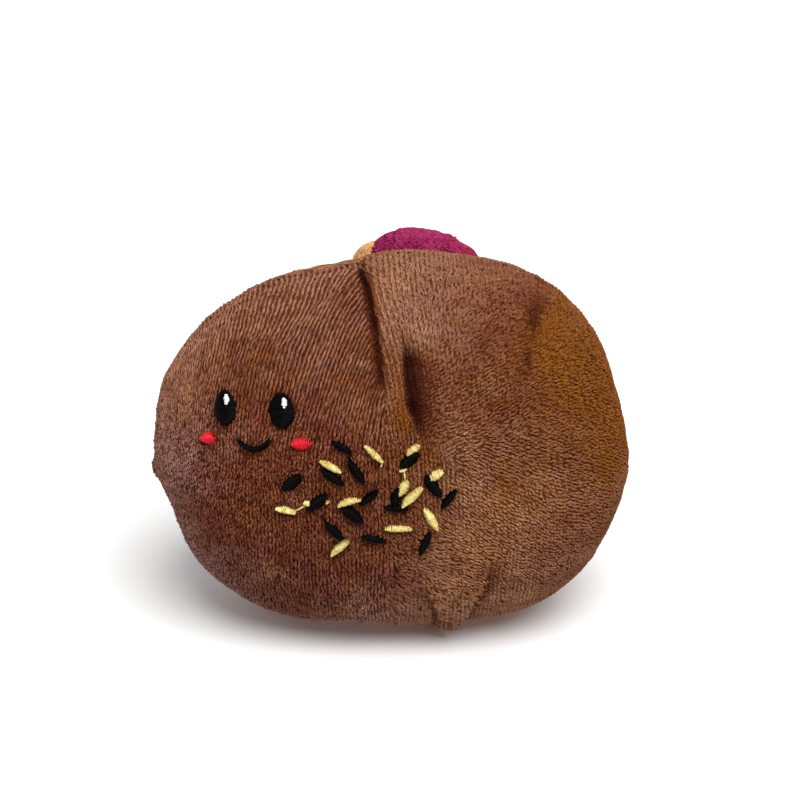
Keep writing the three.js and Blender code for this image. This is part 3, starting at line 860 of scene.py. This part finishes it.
# Loose threads that jump between seeds, by their ends.
BLACK_JUMPS = [((-11.5, 16.1), (-12.1, 13.9)), ((-19.5, -2.8), (-18.8, -5.2))]
YELLOW_JUMPS = [((-2.4, 13.5), (-2.9, 11.6)), ((3.9, 10.6), (4.1, 7.9)), ((-27.5, -2.2), (-24.3, 0.1))]
BLACK_SEED_WIDER = 1.15
SEED_HEIGHT = 0.9
RAISED_HEIGHT = 1.35
THREAD_PITCH = 0.48
THREAD_HALF_WIDTH = 0.27

FACE_AT = (-39.6, 23)
FACE_TURN = 4
EYE_APART = 17
EYE_UP = 3
EYE_HALF_WIDTH = 3.9
EYE_HALF_HEIGHT = 5.2
CHEEK_APART = 27.5
CHEEK_UP = -6
CHEEK_HALF_WIDTH = 3
CHEEK_HALF_HEIGHT = 1.8
SMILE_HALF_WIDTH = 5
SMILE_UP = -5
SMILE_DROP = 2.8
SMILE_THICK = 0.8
GLINT_ACROSS = 1.3
GLINT_UP = 2.0
GLINT_HALF_WIDTH = 1.1
GLINT_HALF_HEIGHT = 1.5


def face_spot(across, up):
    a = math.radians(FACE_TURN)
    return (FACE_AT[0] + across * math.cos(a) - up * math.sin(a), FACE_AT[1] + across * math.sin(a) + up * math.cos(a))


def front_points(across, up):
    """Points of the front's outer pile over places of the front view, by walking back along +Y."""
    across, up = np.broadcast_arrays(np.asarray(across, float), np.asarray(up, float))
    near = np.full(across.shape, -HALF_DEPTH - 10.0)
    far = np.zeros(across.shape)
    for _ in range(26):
        y = (near + far) / 2
        p = np.stack([across, y, up], axis=-1)
        outside = np.linalg.norm(p, axis=-1) > np.linalg.norm(skin(p), axis=-1) + PILE
        near = np.where(outside, y, near)
        far = np.where(outside, far, y)
    return np.stack([across, far, up], axis=-1)


def front_frame(across, up, turn):
    """Point, long axis, cross axis and outward axis of the front at one place."""
    step = 1.5
    p = front_points(across, up)
    right = unit(front_points(across + step, up) - front_points(across - step, up))
    above = unit(front_points(across, up + step) - front_points(across, up - step))
    out = unit(np.cross(right, above))
    side = unit(np.cross(above, out))
    high = np.cross(out, side)
    a = math.radians(turn)
    long_axis = side * math.cos(a) + high * math.sin(a)
    return p, long_axis, np.cross(out, long_axis), out


def lifted(frame, along, wide, lift):
    """Points over places in a frame of the front, lifted from the pile's outer surface."""
    p, long_axis, cross, out = frame
    foot = p + along[..., None] * long_axis + wide[..., None] * cross
    inside = np.full(along.shape, -8.0)
    outside = np.full(along.shape, 8.0)
    for _ in range(22):
        t = (inside + outside) / 2
        q = foot + t[..., None] * out
        over = np.linalg.norm(q, axis=-1) > np.linalg.norm(skin(q), axis=-1) + PILE
        outside = np.where(over, t, outside)
        inside = np.where(over, inside, t)
    return foot + (inside + lift)[..., None] * out


STITCH_STATIONS = 7


def stitches(frame, starts, ends, height, rng):
    """Threads that arch from starts to ends over the fabric, as points and faces of flat tubes."""
    t = np.linspace(0, 1, STITCH_STATIONS)
    starts = starts + rng.normal(0, 0.06, starts.shape)
    ends = ends + rng.normal(0, 0.06, ends.shape)
    line = starts[:, None, :] * (1 - t)[:, None] + ends[:, None, :] * t[:, None]
    run = ends - starts
    cross = np.stack([-run[:, 1], run[:, 0]], axis=-1)
    cross /= np.maximum(np.linalg.norm(cross, axis=-1, keepdims=True), 1e-6)
    arch = np.sin(np.pi * np.clip(t, 0, 1)) ** 0.55
    lift = -0.75 + (height + 0.75) * arch[None, :] * rng.uniform(0.93, 1.07, (len(starts), 1))
    ring = [(-1, 0.0), (-0.5, 0.26), (0.5, 0.26), (1, 0.0), (0.0, -0.2)]
    points = []
    for wide, rise_by in ring:
        at = line + cross[:, None, :] * THREAD_HALF_WIDTH * wide
        points.append(lifted(frame, at[..., 0], at[..., 1], lift + rise_by))
    points = np.stack(points, axis=2)
    n, stations, sides, _ = points.shape
    i, j, k = np.meshgrid(np.arange(n), np.arange(stations - 1), np.arange(sides), indexing="ij")
    a = (i * stations + j) * sides + k
    b = (i * stations + j) * sides + (k + 1) % sides
    quads = np.stack([a, a + sides, b + sides, b], axis=-1).reshape(-1, 4)
    first = np.arange(n) * stations * sides
    last = first + (stations - 1) * sides
    caps = [np.stack([first, first + 1, first + 2, first + 3], -1), np.stack([first, first + 3, first + 4, first + 4], -1)]
    return points.reshape(-1, 3), quads


def satin_oval(across, up, turn, half_long, half_wide, height, rng, slant=0.5, bow=0.0):
    """An oval filled with threads across its long axis, which may be bowed."""
    frame = front_frame(across, up, turn)
    count = max(5, round(2 * half_long / THREAD_PITCH))
    at = (np.arange(count) + 0.5) / count * 2 - 1
    half = half_wide * (1 - at ** 2) ** 0.6 + 0.05
    along = at * half_long
    middle = bow * (0.5 - at ** 2)
    sign = rng.choice([-1, 1])
    starts = np.stack([along - slant * sign * half * 0.35, middle - half], axis=-1)
    ends = np.stack([along + slant * sign * half * 0.35, middle + half], axis=-1)
    return stitches(frame, starts, ends, height, rng)


def seed_of_threads(seed, rng, wider=1.0):
    across, up, turn, half_long, half_wide = seed
    height = RAISED_HEIGHT if (across, up) in RAISED_SEEDS else SEED_HEIGHT
    bow = BOW if (across, up) == BOWED_SEED else 0
    return satin_oval(across, up, turn, half_long, half_wide * wider, height, rng, bow=bow)


def jump_thread(start, end, rng):
    """One thread that lies on the fabric between two places of the front."""
    start, end = np.array(start), np.array(end)
    middle = (start + end) / 2
    return stitches(front_frame(*middle, 0), (start - middle)[None], (end - middle)[None], 0.35, rng)


def stem_stitch(line, half_width, rng):
    """A thick line of slanted threads through places of the front."""
    line = np.array(line)
    middle = line.mean(axis=0)
    frame = front_frame(*middle, 0)
    away = line - middle
    run = np.concatenate([[0], np.cumsum(np.linalg.norm(np.diff(away, axis=0), axis=-1))])
    count = round(run[-1] / 0.5)
    at = (np.arange(count) + 0.5) / count * run[-1]
    spots = np.stack([np.interp(at, run, away[:, k]) for k in (0, 1)], axis=-1)
    ahead = np.gradient(spots, axis=0)
    ahead /= np.linalg.norm(ahead, axis=-1, keepdims=True)
    across = np.stack([-ahead[:, 1], ahead[:, 0]], axis=-1)
    thinner = (0.35 + 0.65 * np.sqrt(np.maximum(0, 1 - (2 * at / run[-1] - 1) ** 4)))[:, None]
    reach = across * half_width * thinner + 0.35 * ahead
    return stitches(frame, spots - reach, spots + reach, 0.8, rng)


def joined(parts):
    points, faces, at = [], [], 0
    for p, f in parts:
        points.append(p)
        faces.append(f + at)
        at += len(p)
    return np.concatenate(points), np.concatenate(faces)


# Camera, light and floor


def add_camera():
    e = math.radians(VIEW_ELEVATION)
    ahead = Vector((0, math.cos(e), -math.sin(e)))
    above = Vector((0, math.sin(e), math.cos(e)))
    centre = Vector((0, 0, CENTRE_UP * MM))
    half = PHOTO_SIDE / 2
    aim = centre + Vector((1, 0, 0)) * ((half - CENTRE_PIXEL[0]) / PHOTO_SCALE * MM)
    aim += above * ((CENTRE_PIXEL[1] - half) / PHOTO_SCALE * MM)
    data = bpy.data.cameras.new("camera")
    data.sensor_width = 36
    data.lens = data.sensor_width * VIEW_DISTANCE * PHOTO_SCALE / PHOTO_SIDE
    data.clip_start = 0.01
    camera = bpy.data.objects.new("camera", data)
    camera.location = centre - ahead * VIEW_DISTANCE * MM
    camera.rotation_euler = (aim - camera.location).to_track_quat("-Z", "Y").to_euler()
    bpy.context.scene.collection.objects.link(camera)
    bpy.context.scene.camera = camera


SKY_ABOVE = 0.55
SKY_BELOW = 0.85
SUN_STRENGTH = 3.4
SUN_FROM = (0.2, -0.55, 0.81)


def add_sun(name, toward, strength, softness):
    """A soft distant light that shines from a direction."""
    data = bpy.data.lights.new(name, "SUN")
    data.energy = strength
    data.angle = math.radians(softness)
    lamp = bpy.data.objects.new(name, data)
    lamp.rotation_euler = Vector(toward).to_track_quat("Z", "Y").to_euler()
    bpy.context.scene.collection.objects.link(lamp)


def add_surroundings():
    """A white floor and a soft light from above that is weak from below."""
    world = bpy.data.worlds.new("world")
    world.use_nodes = True
    nodes, links = world.node_tree.nodes, world.node_tree.links
    place = nodes.new("ShaderNodeTexCoord")
    parts = nodes.new("ShaderNodeSeparateXYZ")
    links.new(place.outputs["Generated"], parts.inputs["Vector"])
    height = nodes.new("ShaderNodeMapRange")
    height.inputs["From Min"].default_value = -0.3
    height.inputs["From Max"].default_value = 0.3
    links.new(parts.outputs["Z"], height.inputs["Value"])
    sky = ramp(nodes, links, height.outputs["Result"], [(0.0, (SKY_BELOW,) * 3 + (1,)), (1.0, (SKY_ABOVE,) * 3 + (1,))])
    links.new(sky, nodes["Background"].inputs["Color"])
    bpy.context.scene.world = world
    bpy.context.scene.view_settings.view_transform = "Standard"
    add_sun("key", SUN_FROM, SUN_STRENGTH, 40)
    material, nodes, links = new_material("floor_white")
    nodes["Principled BSDF"].inputs["Base Color"].default_value = (0.9, 0.9, 0.9, 1)
    nodes["Principled BSDF"].inputs["Roughness"].default_value = 0.9
    bpy.ops.mesh.primitive_plane_add(size=6)
    floor = bpy.context.object
    floor.name = "floor"
    floor.data.materials.append(material)
    floor.visible_diffuse = False
    floor.visible_glossy = False


CUSHION_FOLDS = (-17, -14.2, 3)  # where the cushions' fabric is creased, along their length


def cushion_surface(cushion):
    """A function that gives the surface of a cushion in the opening along directions from its middle."""
    size = np.array(cushion["size"])

    def surface(d):
        d = unit(d)
        radius = 1 / np.linalg.norm(d / size, axis=-1)
        p = d * radius[..., None]
        across = p[..., 0] + 0.5 * waves(p, 14, 40)
        folds = sum(bell((across - fold) / 0.4) for fold in CUSHION_FOLDS)
        radius = radius + 0.2 * waves(p, 9, 41) + 0.07 * waves(p, 4, 42) - 0.5 * folds - 0.5
        return d * radius[..., None]

    return surface


def cushion_points(cushion, d):
    return cushion_surface(cushion)(d) @ OPENING_AXES.T + np.array(cushion["at"])


def cushion_mesh(name, cushion, material):
    lat = np.radians(np.linspace(-90, 90, 61))
    lon = np.radians(np.linspace(0, 360, 96, endpoint=False))
    points = cushion_points(cushion, around_x(lat[:, None], lon[None, :]))
    return make_mesh(name, points.reshape(-1, 3), ball_faces(len(lat), len(lon)), material)


def cushion_pile(name, cushion, material, area_each, keep, highlight_side, uneven, seed):
    """Pile over a cushion of the opening, where keep says so."""
    rng = np.random.default_rng(seed)
    surface = cushion_surface(cushion)
    size = np.array(cushion["size"])
    power = 1.6
    products = np.array([size[0] * size[1], size[0] * size[2], size[1] * size[2]])
    area = 4 * math.pi * (products ** power).mean() ** (1 / power)
    ball = unit(rng.normal(size=(int(3 * area / area_each), 3)))
    weight = np.linalg.norm(ball / size, axis=-1)
    d = unit(ball * size)[rng.uniform(size=len(ball)) < weight / weight.max()][:int(area / area_each)]
    points = surface(d)
    normals = skin_normals(d, surface)
    angle = 0.8 * waves(points, 18, 43) + 0.3 * waves(points, 6, 44)
    heading = np.stack([np.cos(angle), np.sin(angle), -0.3 + 0 * angle], axis=-1)
    heading += rng.normal(0, 0.15, heading.shape)
    heading = unit(heading - dot(heading, normals)[..., None] * normals)
    roots = points @ OPENING_AXES.T + np.array(cushion["at"])
    chosen = keep(roots)
    n = int(chosen.sum())
    length = rng.uniform(1.3, 2.2, n)
    half_width = rng.uniform(0.1, 0.16, n)
    lift = rng.uniform(0.35, 0.6, n)
    tone = np.clip(0.5 + uneven * rng.normal(size=n), 0, 1)
    pale_and_lit = np.clip(0.5 + 0.25 * waves(roots[chosen], 7, 45), 0, 1)
    # The filling is painted redder towards its right end, as a painted highlight; the rim gets no such share.
    warm = np.clip(highlight_side * smooth(roots[chosen][:, 0], 14, 30) + 0.1 * rng.normal(size=n), 0, 1)
    grey_and_sheen = np.zeros(n)
    points, faces, values, uv = strands(roots[chosen], (normals @ OPENING_AXES.T)[chosen],
                                        (heading @ OPENING_AXES.T)[chosen], length, half_width, lift, tone, pale_and_lit, warm,
                                        grey_and_sheen)
    return make_mesh(name, points, faces, material, values, uv)


def build():
    brown_skin = skin_material("brown_ground", (50, 14, 0), (72, 26, 4), (146, 88, 44))
    # Shades of the brown pile by root and tip: plain, pale for painted light, warm, and grey for painted rim sheen.
    brown = pile_material("brown_pile", ((66, 22, 4), (139, 73, 53)), ((112, 58, 18), (202, 149, 106)),
                          ((108, 56, 0), (148, 87, 14)), ((96, 56, 48), (194, 150, 142)), 0.05, (205, 160, 130))
    yellow = pile_material("yellow_pile", ((236, 168, 84), (252, 204, 140)), ((238, 176, 96), (255, 214, 156)),
                           ((226, 152, 66), (250, 192, 110)), ((236, 168, 84), (252, 204, 140)), 0.2, (255, 230, 190))
    # The magenta's warm shade is the redder painted highlight at the filling's right end.
    magenta = pile_material("magenta_pile", ((104, 8, 54), (180, 46, 110)), ((120, 12, 62), (196, 60, 124)),
                            ((130, 4, 44), (200, 36, 84)), ((104, 8, 54), (180, 46, 110)), 0.25, (230, 140, 190))
    yellow_skin = skin_material("yellow_ground", (216, 150, 72), (232, 168, 92), (232, 168, 92))
    magenta_skin = skin_material("magenta_ground", (100, 8, 50), (126, 16, 68), (126, 16, 68))
    black_thread = thread_material("black_thread", (2, 2, 3), (6, 6, 8), roughness=0.5, specular=0.06)
    yellow_thread = thread_material("yellow_thread", (186, 158, 62), (240, 226, 158))
    white_thread = thread_material("white_thread", (226, 232, 242), (250, 252, 255))
    red_thread = thread_material("red_thread", (190, 6, 20), (226, 24, 42))

    lat = np.radians(np.linspace(-90, 90, 221))
    lon = np.radians(np.linspace(0, 360, 260, endpoint=False))
    d = drawn_to_darts(around_x(lat[:, None], lon[None, :]))
    plain = (d * plain_radius(d)[..., None]).reshape(-1, 3)
    # The ground takes the pile's painted paleness and light, and is lighter where the pile is warm, so that the gaps
    # between strands look less dark.
    pale_and_lit, warm, _ = shades_of_pile(plain, np.random.default_rng(22))
    pale_and_lit = np.maximum(pale_and_lit, 0.8 * warm)
    body = make_mesh("bun_skin", skin(d).reshape(-1, 3), ball_faces(len(lat), len(lon)), brown_skin, {"pale_and_lit": pale_and_lit})
    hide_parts("bun_body")
    pieces = [body]

    eyes = [(*face_spot(side * EYE_APART, EYE_UP), FACE_TURN + 90, EYE_HALF_HEIGHT, EYE_HALF_WIDTH)
            for side in (-0.5, 0.5)]
    cheeks = [(*face_spot(side * CHEEK_APART, CHEEK_UP), FACE_TURN, CHEEK_HALF_WIDTH, CHEEK_HALF_HEIGHT)
              for side in (-0.5, 0.5)]
    smile_line = [(t * SMILE_HALF_WIDTH, SMILE_UP + SMILE_DROP * (t * t - 1)) for t in np.linspace(-1, 1, 9)]
    smile = [(*face_spot(*spot), 0, 1.0, 1.0) for spot in smile_line]
    ovals = BLACK_SEEDS + YELLOW_SEEDS + eyes + cheeks + smile
    patches = [(front_frame(*oval[:3]), *oval[3:]) for oval in ovals]

    *looks, plain = pile_of_bun(patches)
    print("strands", len(plain))
    front = seam_distance(plain) < 0
    left, right = plain[..., 0] < -22, plain[..., 0] > 24
    parts = {"left": left, "middle": ~left & ~right, "right": right}
    for side_name, side in (("front", front), ("back", ~front)):
        for part_name, part in parts.items():
            chosen = side & part
            name = f"pile_{side_name}_{part_name}"
            points, faces, values, uv = strands(*[value[chosen] for value in looks])
            print(name, len(faces))
            piece = make_mesh(name, points, faces, brown, values, uv)
            pieces.append(piece)

    rim = cushion_mesh("rim_skin", RIM, yellow_skin)
    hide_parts("crumb_rim")
    filling = cushion_mesh("filling_skin", FILLING, magenta_skin)
    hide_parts("bean_filling")

    def outside_bun(p):
        return np.linalg.norm(p, axis=-1) > np.linalg.norm(skin(p), axis=-1) - 3

    rim_pile = cushion_pile("rim_pile", RIM, yellow, 0.11,
                            lambda p: outside_bun(p) & (in_cushion(p, FILLING) > 0.99), 0, 0.07, 51)
    filling_pile = cushion_pile("filling_pile", FILLING, magenta, 0.13,
                                lambda p: outside_bun(p) & (in_cushion(p, RIM) > 0.98), 1, 0.2, 52)
    pieces += [rim, filling, rim_pile, filling_pile]

    rng = np.random.default_rng(61)
    black = [seed_of_threads(seed, rng, wider=BLACK_SEED_WIDER) for seed in BLACK_SEEDS]
    black += [jump_thread(*ends, rng) for ends in BLACK_JUMPS]
    black += [satin_oval(*eye, 0.9, rng, slant=0.2) for eye in eyes]
    black += [stem_stitch([face_spot(*spot) for spot in smile_line], SMILE_THICK, rng)]
    whites = [satin_oval(*face_spot(side * EYE_APART + GLINT_ACROSS, EYE_UP + GLINT_UP), FACE_TURN + 90,
                         GLINT_HALF_HEIGHT, GLINT_HALF_WIDTH, 1.3, rng, slant=0.2) for side in (-0.5, 0.5)]
    yellows = [seed_of_threads(seed, rng) for seed in YELLOW_SEEDS + YELLOW_STUBS]
    yellows += [jump_thread(*ends, rng) for ends in YELLOW_JUMPS]
    reds = [satin_oval(*cheek, 0.9, rng) for cheek in cheeks]
    for name, parts, material in (("black_embroidery", black, black_thread),
                                  ("yellow_embroidery", yellows, yellow_thread),
                                  ("white_embroidery", whites, white_thread),
                                  ("red_embroidery", reds, red_thread)):
        points, faces = joined(parts)
        piece = make_mesh(name, points, faces, material)
        pieces.append(piece)

    for piece in pieces:
        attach(piece, "root")


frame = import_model()
add_camera()
add_surroundings()
build()
